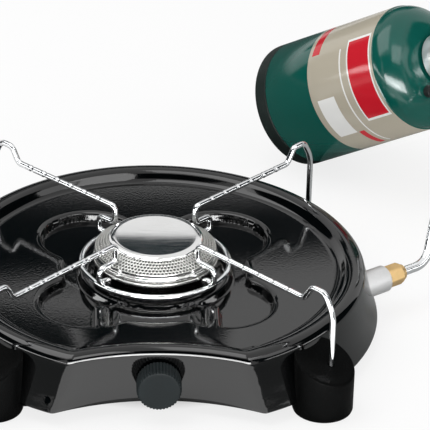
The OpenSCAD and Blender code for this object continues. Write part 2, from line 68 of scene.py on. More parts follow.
# Relief of the dish: the recess's soft shoulder and steep wall, the sloped strip and the rise in front
SHOULDER_W, SHOULDER_CURVE, STEEP_W, EDGE_OUT = 3.5, 13.0, 2.2, 2.2
STRIP_RISE, STRIP_FADE = 3.2, 12.0
FRONT_RISE, FRONT_RISE_Y, FRONT_RISE_IN, FRONT_RISE_OUT = 0.034, 74.0, 35.0, 75.0
BOSS_OUT, BOSS_SLOPE, BOSS_TOP_SLOPE = 1.0, 3.5, 2.5

# Feet and grate
ARM_ANGLES = {"front_left": 225.0, "front_right": 315.0, "rear_left": 135.0, "rear_right": 45.0}
FOOT_TURNS = {"front_left": 1.6, "front_right": -1.6, "rear_left": -1.6, "rear_right": 1.6}
FOOT_R, FOOT_RAD, FOOT_TOP, FOOT_BITE = 21.5, 168.5, 46.0, 6.0
FRONT_SLOPE, REAR_SLOPE = 24.0, 45.0
RING_R, RING_Z = 53.9, 49.7
ARM_IN, ARM_Z, ARM_DIP, HUMP_Z, LEG_RAD, LEG_Z = 41.5, 79.0, 1.6, 88.6, 170.5, 16.0
LEG_HOLE_R, FOOT_CUT_TOP = 2.5, 60.0
NOTCH_FIRST, NOTCH_GAP, NOTCH_W, NOTCH_DEPTH, BARB_OFF, BARB_RISE = 62.0, 14.2, 0.8, 0.26, 1.7, 0.15

# Burner
FLANGE_R, FLANGE_Z, FLANGE_H, BAND_Z, BAND_TOP, CAP_R = 45.6, 52.8, 2.6, 62.4, 69.0, 34.5
BURNER_PORT_R, BOWL_SPIGOT_R, RING_IN = 7.9, 9.1, FLANGE_R - 4.4
BAND_T, HOLE_SHARE, HOLE_STRETCH = 0.6, 0.36, 1.1
CAP_FLAT_R, CAP_CENTRE_Z, CAP_DISH = 29.0, 1.55, 0.45

# Valve axis, gas line and bottle
VALVE_Y, VALVE_Z, INLET_HEAD = -103.0, 27.5, 34.53
KNOB_R, KNOB_FACE, KNOB_BACK, KNOB_BORE, FLUTE_DEPTH = 15.8, 145.4, 131.2, 3.1, 0.75
SLEEVE_FROM, SLEEVE_END, SLEEVE_R, SLEEVE_SEAT = 176.0, 206.82, 10.0, 190.0
TUBE_BORE, GAS_BORE, PIPE_BORE, SPIGOT_R = 4.04, 2.4, 3.56, 5.6
NUT_LEN, NUT_R, NUT_FLAT, NUT_FACE_R, NUT_BORE, NUT_SEAT = 17.0, 8.3, 7.47, 7.2, 5.9, 10.6
BEND_AT, BEND_R, PIPE_R = 247.02, 22.0, 3.5
BOTTLE_R, BOTTLE_SHOULDER, BOTTLE_TOP, BASE_RING_H = 50.0, 130.7, 154.0, 12.2
BOTTLE_TILT, BOTTLE_HEAD = 31.7, -40.1
BOTTLE_FOOT = (122.1, 272.9, BOTTLE_R * math.cos(math.radians(BOTTLE_TILT)) + 0.05)
BASE_RING_IN, NECK_R, DOME_R = 45.4, 16.0, 33.2
LABEL_FROM, LABEL_TO = 60.3, 130.2
REG_FACE = BOTTLE_TOP + 2.0
REG_PORT, REG_CAP = REG_FACE + 29.0, REG_FACE + 50.04
CAP_RIBS, CAP_RIB_DEPTH, CAP_RIB_FROM = 48, 0.6, 25.0

# Steps round turned pieces
TURN_STEPS, SMALL_TURN_STEPS, NUT_STEPS, HOLE_STEPS, WIRE_SIDES, PIPE_SIDES = 128, 96, 144, 32, 20, 28
FOOT_STEPS, WALL_STEPS, RING_STEPS = 80, 360, 180


class StoveSizes(bpy.types.PropertyGroup):
    """Sizes that a user would change."""
    wire_radius: FloatProperty(name="Arm wire radius", description="Half the thickness of a grate arm",
                               default=2.15 * MM, unit="LENGTH")
    ring_wire_radius: FloatProperty(name="Ring wire radius", description="Half the thickness of the ring",
                                    default=2.0 * MM, unit="LENGTH")
    notch_count: IntProperty(name="Notches", description="Pressed notches along each arm", default=6)
    hole_columns: IntProperty(name="Burner holes round", description="Holes in one row of the band",
                              default=100)
    hole_rows: IntProperty(name="Burner rows", description="Rows of holes in the band", default=5)
    flutes: IntProperty(name="Knob flutes", description="Flutes round the knob", default=40)
    segments: IntProperty(name="Pan segments", description="Steps round the pan", default=720)


def colour_value(name, description, default):
    return FloatVectorProperty(name=name, description=description, subtype="COLOR", size=3, default=default)


class StoveColours(bpy.types.PropertyGroup):
    """Main colours of the finishes."""
    enamel: colour_value("Enamel", "Black of the pan", (0.0008, 0.0010, 0.0011))
    plastic: colour_value("Feet", "Black of the feet", (0.00045, 0.000585, 0.000585))
    knob: colour_value("Knob", "Dark grey of the knob", (0.005, 0.0085, 0.0095))
    bottle: colour_value("Bottle", "Green of the bottle", (0.0025, 0.085, 0.066))
    label: colour_value("Band", "Beige of the printed band", (0.44, 0.40, 0.32))
    stripe: colour_value("Panels", "Red of the printed panels", (0.56, 0.014, 0.026))


# Places
def turn_about(angle):
    """A turn about Z, in degrees."""
    return Matrix.Rotation(math.radians(angle), 4, "Z")


def turned_frame(origin, tilt, head):
    """A frame whose Z leans from upright by tilt and points to head, in degrees."""
    place = Matrix.Translation(Vector(origin) * MM)
    return place @ turn_about(head) @ Matrix.Rotation(math.radians(tilt), 4, "Y")


def inlet_frame():
    """Z runs along the gas inlet, from the valve outwards."""
    return turned_frame((0.0, VALVE_Y, VALVE_Z), 90.0, INLET_HEAD)


def bottle_frame():
    """Z runs along the bottle, from its foot to its neck."""
    return turned_frame(BOTTLE_FOOT, 90.0 - BOTTLE_TILT, BOTTLE_HEAD)


def knob_frame():
    """Z runs along the stem, from the burner axis towards the front."""
    return Matrix.Translation(Vector((0.0, 0.0, VALVE_Z * MM))) @ Matrix.Rotation(math.radians(90.0), 4, "X")


def smooth_step(low, high, x):
    """0 at low and 1 at high, with soft ends."""
    t = min(max((x - low) / (high - low), 0.0), 1.0)
    return t * t * (3.0 - 2.0 * t)


def smooth_min(a, b, width):
    """The lesser of two values, blended where they are closer than width."""
    h = min(max(0.5 + 0.5 * (b - a) / width, 0.0), 1.0)
    return b + (a - b) * h - width * h * (1.0 - h)


def smooth_max(a, b, width):
    return -smooth_min(-a, -b, width)


# Mesh makers, all in millimetres until the mesh is written
def soften(points, radius, steps=4):
    """Round the inner corners of an outline of 2D points."""
    out = [points[0]]
    for before, corner, after in zip(points, points[1:], points[2:]):
        b, c, a = Vector(before), Vector(corner), Vector(after)
        cut = min(radius, 0.45 * (b - c).length, 0.45 * (a - c).length)
        start = c + (b - c).normalized() * cut
        end = c + (a - c).normalized() * cut
        for i in range(steps + 1):
            t = i / steps
            out.append(tuple(start * (1 - t) ** 2 + c * 2 * t * (1 - t) + end * t * t))
    out.append(points[-1])
    return out


def join_rings(rings, steps):
    """Faces between rings of vertex numbers, where a ring of one vertex is a tip."""
    faces = []
    for low, high in zip(rings, rings[1:]):
        if len(low) == 1 and len(high) == 1:
            continue
        for i in range(steps):
            j = (i + 1) % steps
            if len(low) == 1:
                faces.append((low[0], high[j], high[i]))
            elif len(high) == 1:
                faces.append((low[i], low[j], high[0]))
            else:
                faces.append((low[i], low[j], high[j], high[i]))
    return faces


def lathe(profile, steps, shape=None):
    """Turn (radius, height) points about Z. shape(angle, radius, height) may change the radius."""
    verts, rings = [], []
    for radius, height in profile:
        if radius < 1e-6:
            rings.append([len(verts)])
            verts.append((0.0, 0.0, height))
            continue
        ring = []
        for i in range(steps):
            angle = 2.0 * math.pi * i / steps
            r = shape(angle, radius, height) if shape else radius
            ring.append(len(verts))
            verts.append((r * math.cos(angle), r * math.sin(angle), height))
        rings.append(ring)
    return verts, join_rings(rings, steps)


def bent_path(points, radii, step=1.0):
    """Points along a polyline whose corners are arcs of the given radii."""
    pts = [Vector(p) for p in points]
    out = [pts[0]]
    for i in range(1, len(pts) - 1):
        d1 = (pts[i] - pts[i - 1]).normalized()
        d2 = (pts[i + 1] - pts[i]).normalized()
        turn = d1.angle(d2)
        cut = radii[i] * math.tan(turn / 2.0)
        inward = (d2 - d1 * d1.dot(d2)).normalized()
        centre = pts[i] - d1 * cut + inward * radii[i]
        count = max(4, int(radii[i] * turn / step) + 1)
        for k in range(count + 1):
            a = turn * k / count
            out.append(centre + radii[i] * (d1 * math.sin(a) - inward * math.cos(a)))
    out.append(pts[-1])
    return refine(out, step * 1.5)


def refine(points, step):
    """Split the long straight stretches of a path."""
    out = [points[0]]
    for a, b in zip(points, points[1:]):
        count = max(1, int((b - a).length / step))
        for k in range(1, count + 1):
            out.append(a.lerp(b, k / count))
    return out


def tube(path, radius, sides=WIRE_SIDES, swell=None, loop=False):
    """Sweep a circle along a path. swell(distance) scales the radius."""
    count = len(path)
    verts, rings = [], []
    distance = 0.0
    tangent = (path[1] - path[0]).normalized()
    normal = tangent.orthogonal().normalized()
    for i, point in enumerate(path):
        ahead = path[(i + 1) % count] if loop or i + 1 < count else point
        behind = path[i - 1] if loop or i > 0 else point
        fresh = (ahead - behind).normalized()
        normal = (normal - fresh * normal.dot(fresh)).normalized()
        side = fresh.cross(normal)
        if i > 0:
            distance += (point - path[i - 1]).length
        r = radius * (swell(distance) if swell else 1.0)
        rings.append(range(i * sides, (i + 1) * sides))
        for k in range(sides):
            a = 2.0 * math.pi * k / sides
            verts.append(point + normal * r * math.cos(a) + side * r * math.sin(a))
    if loop:
        return verts, join_rings(rings + rings[:1], sides)
    return verts, join_rings(rings, sides) + [tuple(reversed(rings[0])), tuple(rings[-1])]


def write_mesh(name, verts, faces, place=None, sharp=35.0):
    """Write a mesh in metres with smooth faces and sharp creases."""
    move = place or Matrix.Identity(4)
    mesh = bpy.data.meshes.new(name)
    mesh.from_pydata([move @ (Vector(v) * MM) for v in verts], [], faces)
    finish_mesh(mesh, sharp)
    return mesh


def finish_mesh(mesh, sharp=35.0):
    """Merge doubled points, turn faces outwards, and shade smooth but for creases past sharp degrees."""
    work = bmesh.new()
    work.from_mesh(mesh)
    bmesh.ops.remove_doubles(work, verts=work.verts, dist=1e-7)
    bmesh.ops.recalc_face_normals(work, faces=work.faces)
    for face in work.faces:
        face.smooth = True
    for edge in work.edges:
        edge.smooth = not (edge.is_manifold and edge.calc_face_angle(0.0) > math.radians(sharp))
    work.to_mesh(mesh)
    work.free()


def place_piece(name, mesh, body, finish, node):
    """Put a mesh in the scene, on its body, in place of its solid."""
    piece = bpy.data.objects.new(name, mesh)
    bpy.context.scene.collection.objects.link(piece)
    mesh.materials.append(MATERIALS[finish])
    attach(piece, body)
    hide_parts(node)
    return piece


def turned_piece(name, profile, body, finish, node, place=None, steps=TURN_STEPS, shape=None,
                 sharp=35.0):
    """Turn a profile on the lathe and put it in the scene."""
    mesh = write_mesh(name, *lathe(profile, steps, shape), place, sharp)
    return place_piece(name, mesh, body, finish, node)


def thicken(piece, thickness):
    """Give a skin its thickness in millimetres, inwards."""
    sheet = piece.modifiers.new("sheet", "SOLIDIFY")
    sheet.thickness = thickness * MM
    sheet.offset = -1.0


def cut_away(mesh, cutters, sheet=0.0):
    """Subtract closed meshes from a mesh, first thickened into a sheet if asked; return a new mesh."""
    scene = bpy.context.scene
    body = bpy.data.objects.new("cut_body", mesh)
    scene.collection.objects.link(body)
    tools = []
    if sheet:
        thicken(body, sheet)
    for i, cutter in enumerate(cutters):
        tool = bpy.data.objects.new("cut_tool_%d" % i, cutter)
        scene.collection.objects.link(tool)
        tools.append(tool)
        step = body.modifiers.new("cut_%d" % i, "BOOLEAN")
        step.operation = "DIFFERENCE"
        step.solver = "EXACT"
        step.object = tool
    bpy.context.view_layer.update()
    result = bpy.data.meshes.new_from_object(body.evaluated_get(bpy.context.evaluated_depsgraph_get()))
    for item in [body] + tools:
        bpy.data.objects.remove(item)
    if len(result.polygons) == 0:
        raise RuntimeError("a cut left nothing of its mesh")
    finish_mesh(result)
    return result


# Materials
def feed(tree, node, entries):
    """Link sockets to a node's inputs, or set the inputs to plain values."""
    for entry, value in entries.items():
        if isinstance(value, bpy.types.NodeSocket):
            tree.links.new(value, node.inputs[entry])
        else:
            node.inputs[entry].default_value = value


def add_node(tree, kind, entries, **settings):
    """Add a shader node, set it up and feed it; return its outputs."""
    node = tree.nodes.new("ShaderNode" + kind)
    for name, value in settings.items():
        setattr(node, name, value)
    feed(tree, node, entries)
    return node.outputs


def shade(colour, factor=1.0):
    """A colour made darker or lighter, with full cover."""
    return (*(min(1.0, c * factor) for c in colour), 1.0)


class Finish:
    """A material under construction: its shader, and short ways to add detail."""

    def __init__(self, name, colour, roughness, metallic=0.0):
        self.material = bpy.data.materials.new(name)
        self.material.use_nodes = True
        self.tree = self.material.node_tree
        self.shader = self.tree.nodes["Principled BSDF"]
        self.where = add_node(self.tree, "TexCoord", {})["Object"]
        self.set({"Base Color": shade(colour), "Roughness": roughness, "Metallic": metallic})

    def set(self, entries):
        feed(self.tree, self.shader, entries)

    def stretched(self, scale):
        return add_node(self.tree, "Mapping", {"Vector": self.where, "Scale": scale})["Vector"]

    def noise(self, scale, detail=3.0, vector=None):
        entries = {"Vector": vector or self.where, "Scale": scale, "Detail": detail}
        return add_node(self.tree, "TexNoise", entries)["Fac"]

    def cells(self, scale):
        return add_node(self.tree, "TexVoronoi", {"Vector": self.where, "Scale": scale})["Distance"]

    def carried(self, name):
        """A value that the mesh carries at each of its points."""
        return add_node(self.tree, "Attribute", {}, attribute_name=name)["Fac"]

    def math(self, operation, first, second):
        return add_node(self.tree, "Math", {0: first, 1: second}, operation=operation)[0]

    def within(self, value, low, high):
        """1 where value lies between low and high, else 0."""
        above = self.math("GREATER_THAN", value, low)
        return self.math("MULTIPLY", above, self.math("LESS_THAN", value, high))

    def mixed(self, share, below, above):
        entries = {"Factor": share, "A": below, "B": above}
        return add_node(self.tree, "Mix", entries, data_type="RGBA")["Result"]

    def tint(self, value, dark, light):
        self.set({"Base Color": self.mixed(value, dark, light)})

    def rough(self, value, low, high):
        entries = {"Value": value, "From Min": 0.25, "From Max": 0.75, "To Min": low, "To Max": high}
        self.set({"Roughness": add_node(self.tree, "MapRange", entries)["Result"]})

    def bump(self, height, strength, distance):
        entries = {"Height": height, "Strength": strength, "Distance": distance}
        self.set({"Normal": add_node(self.tree, "Bump", entries)["Normal"]})


def enamel_finish(colour):
    """Glossy black enamel with a slight orange peel."""
    f = Finish("enamel_black", colour, 0.08)
    f.set({"IOR": 1.5})
    wide = f.noise(9.0, 2.0)
    f.rough(wide, 0.045, 0.075)
    f.tint(wide, shade(colour, 0.8), shade(colour, 1.3))
    f.bump(f.noise(520.0, 2.0), 0.04, 0.0004)
    return f.material


def pebbled_finish(name, colour, grain, depth, gloss):
    """Moulded plastic with a pebbled skin."""
    f = Finish(name, colour, 0.5)
    f.set({"Specular IOR Level": gloss})
    f.tint(f.noise(60.0), shade(colour, 0.75), shade(colour, 1.5))
    f.rough(f.noise(grain * 0.5), 0.42, 0.62)
    f.bump(f.cells(grain), depth, 0.0004)
    return f.material


def chrome_finish(name, colour, low, high):
    """Bright plating, with faint draw marks and handling marks."""
    f = Finish(name, colour, low, 1.0)
    f.tint(f.noise(35.0), shade(colour, 0.93), shade(colour, 1.05))
    f.rough(f.noise(220.0, 4.0), low, high)
    f.bump(f.noise(700.0, 2.0), 0.03, 0.0002)
    return f.material


def brushed_finish(name, colour, low, high, stretch, depth=0.12):
    """Satin metal brushed along one way."""
    f = Finish(name, colour, low, 1.0)
    lines = f.noise(60.0, 5.0, f.stretched(stretch))
    f.tint(f.noise(25.0), shade(colour, 0.9), shade(colour, 1.04))
    f.rough(lines, low, high)
    f.bump(lines, depth, 0.0002)
    return f.material


def brass_finish():
    """Turned brass, a little dulled in places."""
    colour = (0.64, 0.445, 0.21)
    f = Finish("brass_turned", colour, 0.3, 1.0)
    f.tint(f.noise(120.0, 4.0), shade(colour, 0.85), shade(colour, 1.12))
    f.rough(f.noise(300.0), 0.40, 0.55)
    f.bump(f.noise(900.0, 2.0), 0.03, 0.0001)
    return f.material


def rubber_finish():
    """Dull black rubber."""
    colour = (0.012, 0.012, 0.012)
    f = Finish("rubber_black", colour, 0.7)
    f.tint(f.noise(200.0), shade(colour, 0.8), shade(colour, 1.5))
    f.bump(f.noise(800.0), 0.1, 0.0002)
    return f.material


# Plain print on the bottle's band: from and to in mm along it, from and to as shares of a turn, and ink
PRINT = (
    (103.0, 128.0, 0.600, 0.826, "white"), (104.4, 126.6, 0.607, 0.819, "red"),
    (66.0, 84.0, 0.735, 0.850, "white"), (85.5, 91.0, 0.850, 0.930, "red"),
    (95.0, 96.4, 0.620, 0.930, "white"), (64.0, 72.0, 0.500, 0.615, "red"),
)


def bottle_finish(colours):
    """Glossy green paint with a beige band that carries plain panels, bars and one line."""
    green = tuple(colours.bottle)
    inks = {"red": shade(colours.stripe), "white": (0.8, 0.8, 0.78, 1.0)}
    f = Finish("bottle_paint", green, 0.12)
    f.set({"Specular IOR Level": 0.4})
    along, around = f.carried("along"), f.carried("around")
    colour = f.mixed(f.noise(14.0), shade(green, 0.85), shade(green, 1.12))
    colour = f.mixed(f.within(along, LABEL_FROM, LABEL_TO), colour, shade(colours.label))
    for low, high, start, stop, ink in PRINT:
        mask = f.math("MULTIPLY", f.within(along, low, high), f.within(around, start, stop))
        colour = f.mixed(mask, colour, inks[ink])
    f.set({"Base Color": colour})
    f.rough(f.noise(40.0), 0.10, 0.2)
    f.bump(f.noise(180.0, 1.0), 0.04, 0.0004)
    return f.material


MATERIALS = {}


def make_materials(colours):
    """Make every finish once, under a short name."""
    MATERIALS.update(
        enamel=enamel_finish(tuple(colours.enamel)),
        foot=pebbled_finish("foot_moulding", tuple(colours.plastic), 900.0, 0.35, 0.03),
        knob=pebbled_finish("knob_moulding", tuple(colours.knob), 1800.0, 0.12, 0.12),
        cap=pebbled_finish("cap_moulding", (0.008, 0.009, 0.009), 1500.0, 0.15, 0.3),
        base_ring=pebbled_finish("base_ring_moulding", (0.005, 0.011, 0.0095), 1200.0, 0.12, 0.2),
        wire=chrome_finish("wire_chrome", (0.74, 0.75, 0.76), 0.05, 0.12),
        pipe=chrome_finish("pipe_chrome", (0.80, 0.81, 0.82), 0.10, 0.22),
        zinc=chrome_finish("zinc_steel", (0.62, 0.62, 0.63), 0.18, 0.34),
        burner=brushed_finish("burner_satin", (0.54, 0.54, 0.525), 0.14, 0.28, (1.0, 1.0, 10.0), 0.04),
        burner_cap=brushed_finish("burner_cap_satin", (0.78, 0.78, 0.775), 0.045, 0.085, (1.0, 9.0, 1.0),
                                  0.004),
        screen=brushed_finish("burner_screen", (0.45, 0.45, 0.43), 0.25, 0.42, (1.0, 1.0, 12.0)),
        sleeve=brushed_finish("sleeve_satin", (0.58, 0.58, 0.58), 0.46, 0.6, (8.0, 8.0, 8.0)),
        regulator=brushed_finish("regulator_cast", (0.78, 0.79, 0.80), 0.28, 0.46, (3.0, 3.0, 3.0)),
        tube=brushed_finish("tube_plated", (0.60, 0.60, 0.60), 0.25, 0.42, (10.0, 1.0, 1.0)),
        brass=brass_finish(),
        rubber=rubber_finish(),
        bottle=bottle_finish(colours),
    )


# Pan
def scoop_reach(angle, inset):
    """Distance along a ray from the burner axis to the hollow front wall."""
    reach = -SCOOP_Y * -math.sin(angle)
    radius = SCOOP_R + inset
    inside = reach * reach - (SCOOP_Y * SCOOP_Y - radius * radius)
    if reach <= 0.0 or inside < 0.0:
        return 1e6
    return reach - math.sqrt(inside)


def pan_reach(angle, radius, inset):
    """Distance along a ray to the pan's outline at one level, round or hollow, with a soft corner."""
    return smooth_min(radius, scoop_reach(angle, inset), CORNER_BLEND)


def clover_depth(x, y):
    """How far a point lies inside the four-lobed recess; negative outside it."""
    r = math.hypot(x, y)
    inside = RECESS_R - r
    for sx in (-1, 1):
        for sy in (-1, 1):
            lobe = LOBE_R - math.hypot(x - sx * LOBE_OFF, y - sy * LOBE_OFF)
            inside = smooth_max(inside, lobe, LOBE_BLEND)
    if y < 0.0:
        strip = smooth_min(STRIP_R - r, RIDGE_X - abs(x), STRIP_BLEND)
        ridge = smooth_min(RIDGE_W / 2 - abs(abs(x) - RIDGE_X), -y - RIDGE_Y, RIDGE_BLEND)
        inside = smooth_min(smooth_max(inside, strip, STRIP_BLEND), -ridge, RIDGE_EDGE)
    return inside


def recess_edge(inside):
    """Share of the recess's depth at so many mm inside its outline: a soft shoulder, then a steep wall."""
    full = DISH_Z - LOBE_Z
    along = inside + EDGE_OUT
    if along <= 0.0:
        return 0.0
    if along < SHOULDER_W:
        return along * along / SHOULDER_CURVE / full
    start, slope = SHOULDER_W * SHOULDER_W / SHOULDER_CURVE, 2.0 * SHOULDER_W / SHOULDER_CURVE
    t = min(1.0, (along - SHOULDER_W) / STEEP_W)
    rise = start + (full - start) * t * t * (3.0 - 2.0 * t) + slope * STEEP_W * t * (1.0 - t) ** 2
    return rise / full


def dish_height(x, y):
    """Height of the dish floor, its recess and its boss."""
    r = math.hypot(x, y)
    depth = recess_edge(clover_depth(x, y))
    z = DISH_Z - (DISH_Z - LOBE_Z) * depth
    if y < 0.0:
        across = smooth_step(RIDGE_X, RIDGE_X - STRIP_FADE, abs(x))
        z += STRIP_RISE * depth * across * (STRIP_R - r) / (STRIP_R - BOSS_R)
        z += FRONT_RISE * max(0.0, -y - FRONT_RISE_Y) * smooth_step(FRONT_RISE_OUT, FRONT_RISE_IN, abs(x))
    shoulder = LOBE_Z + (BOSS_Z - LOBE_Z) * smooth_step(0.0, BOSS_SLOPE, BOSS_R + BOSS_OUT - r)
    top_r = BOSS_TOP_R + BOSS_OUT
    top = BOSS_Z + (BOSS_TOP_Z - BOSS_Z) * smooth_step(0.0, BOSS_TOP_SLOPE, top_r - r)
    return max(z, shoulder) if r > top_r else max(z, top)


# Levels of the pan from the skirt's inner edge up the wall, over the rim bead and down to the dish:
# radius of the round part, how far the hollow front wall steps back, and height
PAN_LEVELS = (
    (SKIRT_R - 2.2, 2.2, SKIRT_Z + 1.2), (SKIRT_R - 1.4, 1.4, SKIRT_Z), (SKIRT_R - 0.3, 0.3, SKIRT_Z + 0.3),
    (SKIRT_R, 0.0, SKIRT_Z + 1.3), (163.1, 0.0, 13.5), (162.5, 0.0, 15.5), (161.8, 0.0, 17.5),
    (161.2, 0.0, 19.5), (160.7, 0.0, 21.0), (160.1, 0.0, 23.0), (157.3, 0.0, 32.5), (154.6, 0.0, 42.0),
    (153.9, 0.0, 44.6), (153.5, 0.2, 46.3), (152.8, 0.7, 47.9), (151.7, 1.6, 49.2), (150.2, 2.9, 50.3),
    (148.5, 4.5, 51.0), (146.4, 6.4, RIM_Z), (143.6, 9.0, 51.3), (142.0, 10.4, 50.9), (140.2, 11.9, 50.3),
    (139.2, 12.8, 49.6), (138.4, 13.6, 48.6), (136.4, 15.4, 46.2), (135.4, 16.4, 45.1), (134.2, 17.6, 44.4),
    (132.6, 19.2, 44.05), (130.6, 21.2, DISH_Z),
)
DISH_RINGS, BOSS_RINGS, FINE_R = 104, 14, 50.0


class STOVE_OT_base_pan(bpy.types.Operator):
    """Press the enamelled pan with its rim, dish, recess and boss."""
    bl_idname = "stove.base_pan"
    bl_label = "Base pan"

    def execute(self, context):
        steps = context.scene.stove_sizes.segments
        verts = []
        angles = [2.0 * math.pi * i / steps for i in range(steps)]
        for radius, inset, z in PAN_LEVELS:
            for a in angles:
                r = pan_reach(a, radius, inset)
                verts.append((r * math.cos(a), r * math.sin(a), z))
        radius, inset, _ = PAN_LEVELS[-1]
        edge = [pan_reach(a, radius, inset) for a in angles]
        for k in range(1, DISH_RINGS + BOSS_RINGS + 1):
            outer, inner = min(1.0, k / DISH_RINGS), max(0.0, (k - DISH_RINGS) / BOSS_RINGS)
            for a, far in zip(angles, edge):
                r = far + (FINE_R - far) * outer + (PAN_HOLE_R - FINE_R) * inner
                x, y = r * math.cos(a), r * math.sin(a)
                verts.append((x, y, dish_height(x, y)))
        rings = [range(first, first + steps) for first in range(0, len(verts), steps)]
        skin = write_mesh("base_pan_sheet", verts, join_rings(rings, steps), sharp=60.0)
        wall_r = SKIRT_R - (DRAIN_Z - SKIRT_Z) * WALL_LEAN
        at = turn_about(DRAIN_TURN) @ Matrix.Translation((wall_r * MM, 0.0, DRAIN_Z * MM))
        drill = lathe([(0.0, -8.0), (DRAIN_R, -8.0), (DRAIN_R, 8.0), (0.0, 8.0)], HOLE_STEPS)
        outwards = Matrix.Rotation(math.pi / 2 - math.atan(WALL_LEAN), 4, "Y")
        hole = write_mesh("drain_hole", *drill, at @ outwards)
        mesh = cut_away(skin, [hole], SHEET_T)
        place_piece("base_pan_sheet", mesh, "stove", "enamel", "base_pan")
        return {"FINISHED"}


# Feet
def foot_mesh(name, angle, turn, slope):
    """A round post with a slanted hollow top, cut to the pan's wall and drilled for a leg at the angle."""
    verts, rings = [], []
    lean = math.tan(math.radians(slope))
    # Radius, then either a height or a drop below the slanted edge
    rows = ((0.0, 0.0, None), (FOOT_R - 2.0, 0.0, None), (FOOT_R - 0.6, 0.5, None), (FOOT_R, 2.0, None),
            (FOOT_R, None, -1.4), (FOOT_R - 0.35, None, -0.45), (FOOT_R - 1.2, None, 0.0),
            (FOOT_R - 2.6, None, -0.3), (FOOT_R - 6.0, None, -1.6), (FOOT_R - 11.0, None, -2.8),
            (FOOT_R - 17.0, None, -3.4), (0.0, None, -3.6))
    for radius, height, drop in rows:
        ring = []
        for i in range(1 if radius == 0.0 else FOOT_STEPS):
            a = 2.0 * math.pi * i / FOOT_STEPS
            x, y = FOOT_RAD + radius * math.cos(a), radius * math.sin(a)
            edge = FOOT_TOP - (x - FOOT_RAD + FOOT_R - FOOT_BITE) * lean
            z = height if drop is None else min(edge, FOOT_TOP) + drop
            ring.append(len(verts))
            verts.append((x, y, z))
        rings.append(ring)
    post = write_mesh(name, verts, join_rings(rings, FOOT_STEPS), turn_about(angle + turn))
    low_z, wall_r = SKIRT_Z - 0.05, SKIRT_R + 0.1
    cone = lathe([(0.0, low_z), (wall_r, low_z), (wall_r - WALL_LEAN * (FOOT_CUT_TOP - low_z), FOOT_CUT_TOP),
                  (0.0, FOOT_CUT_TOP)], WALL_STEPS)
    bottom = LEG_Z - 0.1
    hole = lathe([(0.0, bottom), (LEG_HOLE_R, bottom), (LEG_HOLE_R, FOOT_CUT_TOP), (0.0, FOOT_CUT_TOP)],
                 HOLE_STEPS)
    hole_at = turn_about(angle) @ Matrix.Translation((LEG_RAD * MM, 0.0, 0.0))
    return cut_away(post, [write_mesh("foot_wall", *cone), write_mesh("foot_hole", *hole, hole_at)])


class STOVE_OT_feet(bpy.types.Operator):
    """Mould the four feet."""
    bl_idname = "stove.feet"
    bl_label = "Feet"

    def execute(self, context):
        for where, angle in ARM_ANGLES.items():
            name = "foot_%s_moulding" % where
            slope = FRONT_SLOPE if where.startswith("front") else REAR_SLOPE
            mesh = foot_mesh(name, angle, FOOT_TURNS[where], slope)
            mesh.name = name
            place_piece(name, mesh, "stove", "foot", "foot_" + where)
        return {"FINISHED"}


# Grate
def arm_path(angle, wire):
    """The bent wire of one arm, from its end over the ring to the end of its leg."""
    over = RING_Z + 2.0 + wire + 0.05
    route = ((RING_R - 6.3, over - 2.8), (RING_R - 3.3, over), (RING_R + 4.3, over),
             (RING_R + 4.3, over + 11.3), (ARM_IN, over + 11.9), (ARM_IN, ARM_Z),
             (LEG_RAD - 27.0, ARM_Z - ARM_DIP), (LEG_RAD - 20.0, HUMP_Z), (LEG_RAD - 8.5, HUMP_Z),
             (LEG_RAD, HUMP_Z - 14.6), (LEG_RAD, LEG_Z))
    radii = (0.0, 2.5, 3.0, 5.0, 4.0, 4.5, 5.0, 5.0, 7.0, 28.0, 0.0)
    c, s = math.cos(math.radians(angle)), math.sin(math.radians(angle))
    return bent_path([(r * c, r * s, z) for r, z in route], radii, 0.8)


def notch_swell(count):
    """Small pressed notches: at each the wire narrows, with a raised barb beside it."""
    def swell(distance):
        near = min((distance - NOTCH_FIRST - NOTCH_GAP * i for i in range(count)), key=abs)
        groove = NOTCH_DEPTH * math.exp(-(near / NOTCH_W) ** 2)
        barb = BARB_RISE * math.exp(-((near - BARB_OFF) / NOTCH_W) ** 2)
        return 1.0 - groove + barb
    return swell


class STOVE_OT_grate(bpy.types.Operator):
    """Bend the grate's ring and four arms from bright wire."""
    bl_idname = "stove.grate"
    bl_label = "Grate"

    def execute(self, context):
        sizes = context.scene.stove_sizes
        ring = [Vector((RING_R * math.cos(a), RING_R * math.sin(a), RING_Z))
                for a in (2.0 * math.pi * i / RING_STEPS for i in range(RING_STEPS))]
        mesh = write_mesh("grate_ring_wire", *tube(ring, sizes.ring_wire_radius / MM, loop=True))
        place_piece("grate_ring_wire", mesh, "grate", "wire", "grate_ring")
        wire, swell = sizes.wire_radius / MM, notch_swell(sizes.notch_count)
        for where, angle in ARM_ANGLES.items():
            name = "grate_arm_%s_wire" % where
            mesh = write_mesh(name, *tube(arm_path(angle, wire), wire, swell=swell), sharp=70.0)
            place_piece(name, mesh, "grate", "wire", "grate_arm_" + where)
        return {"FINISHED"}


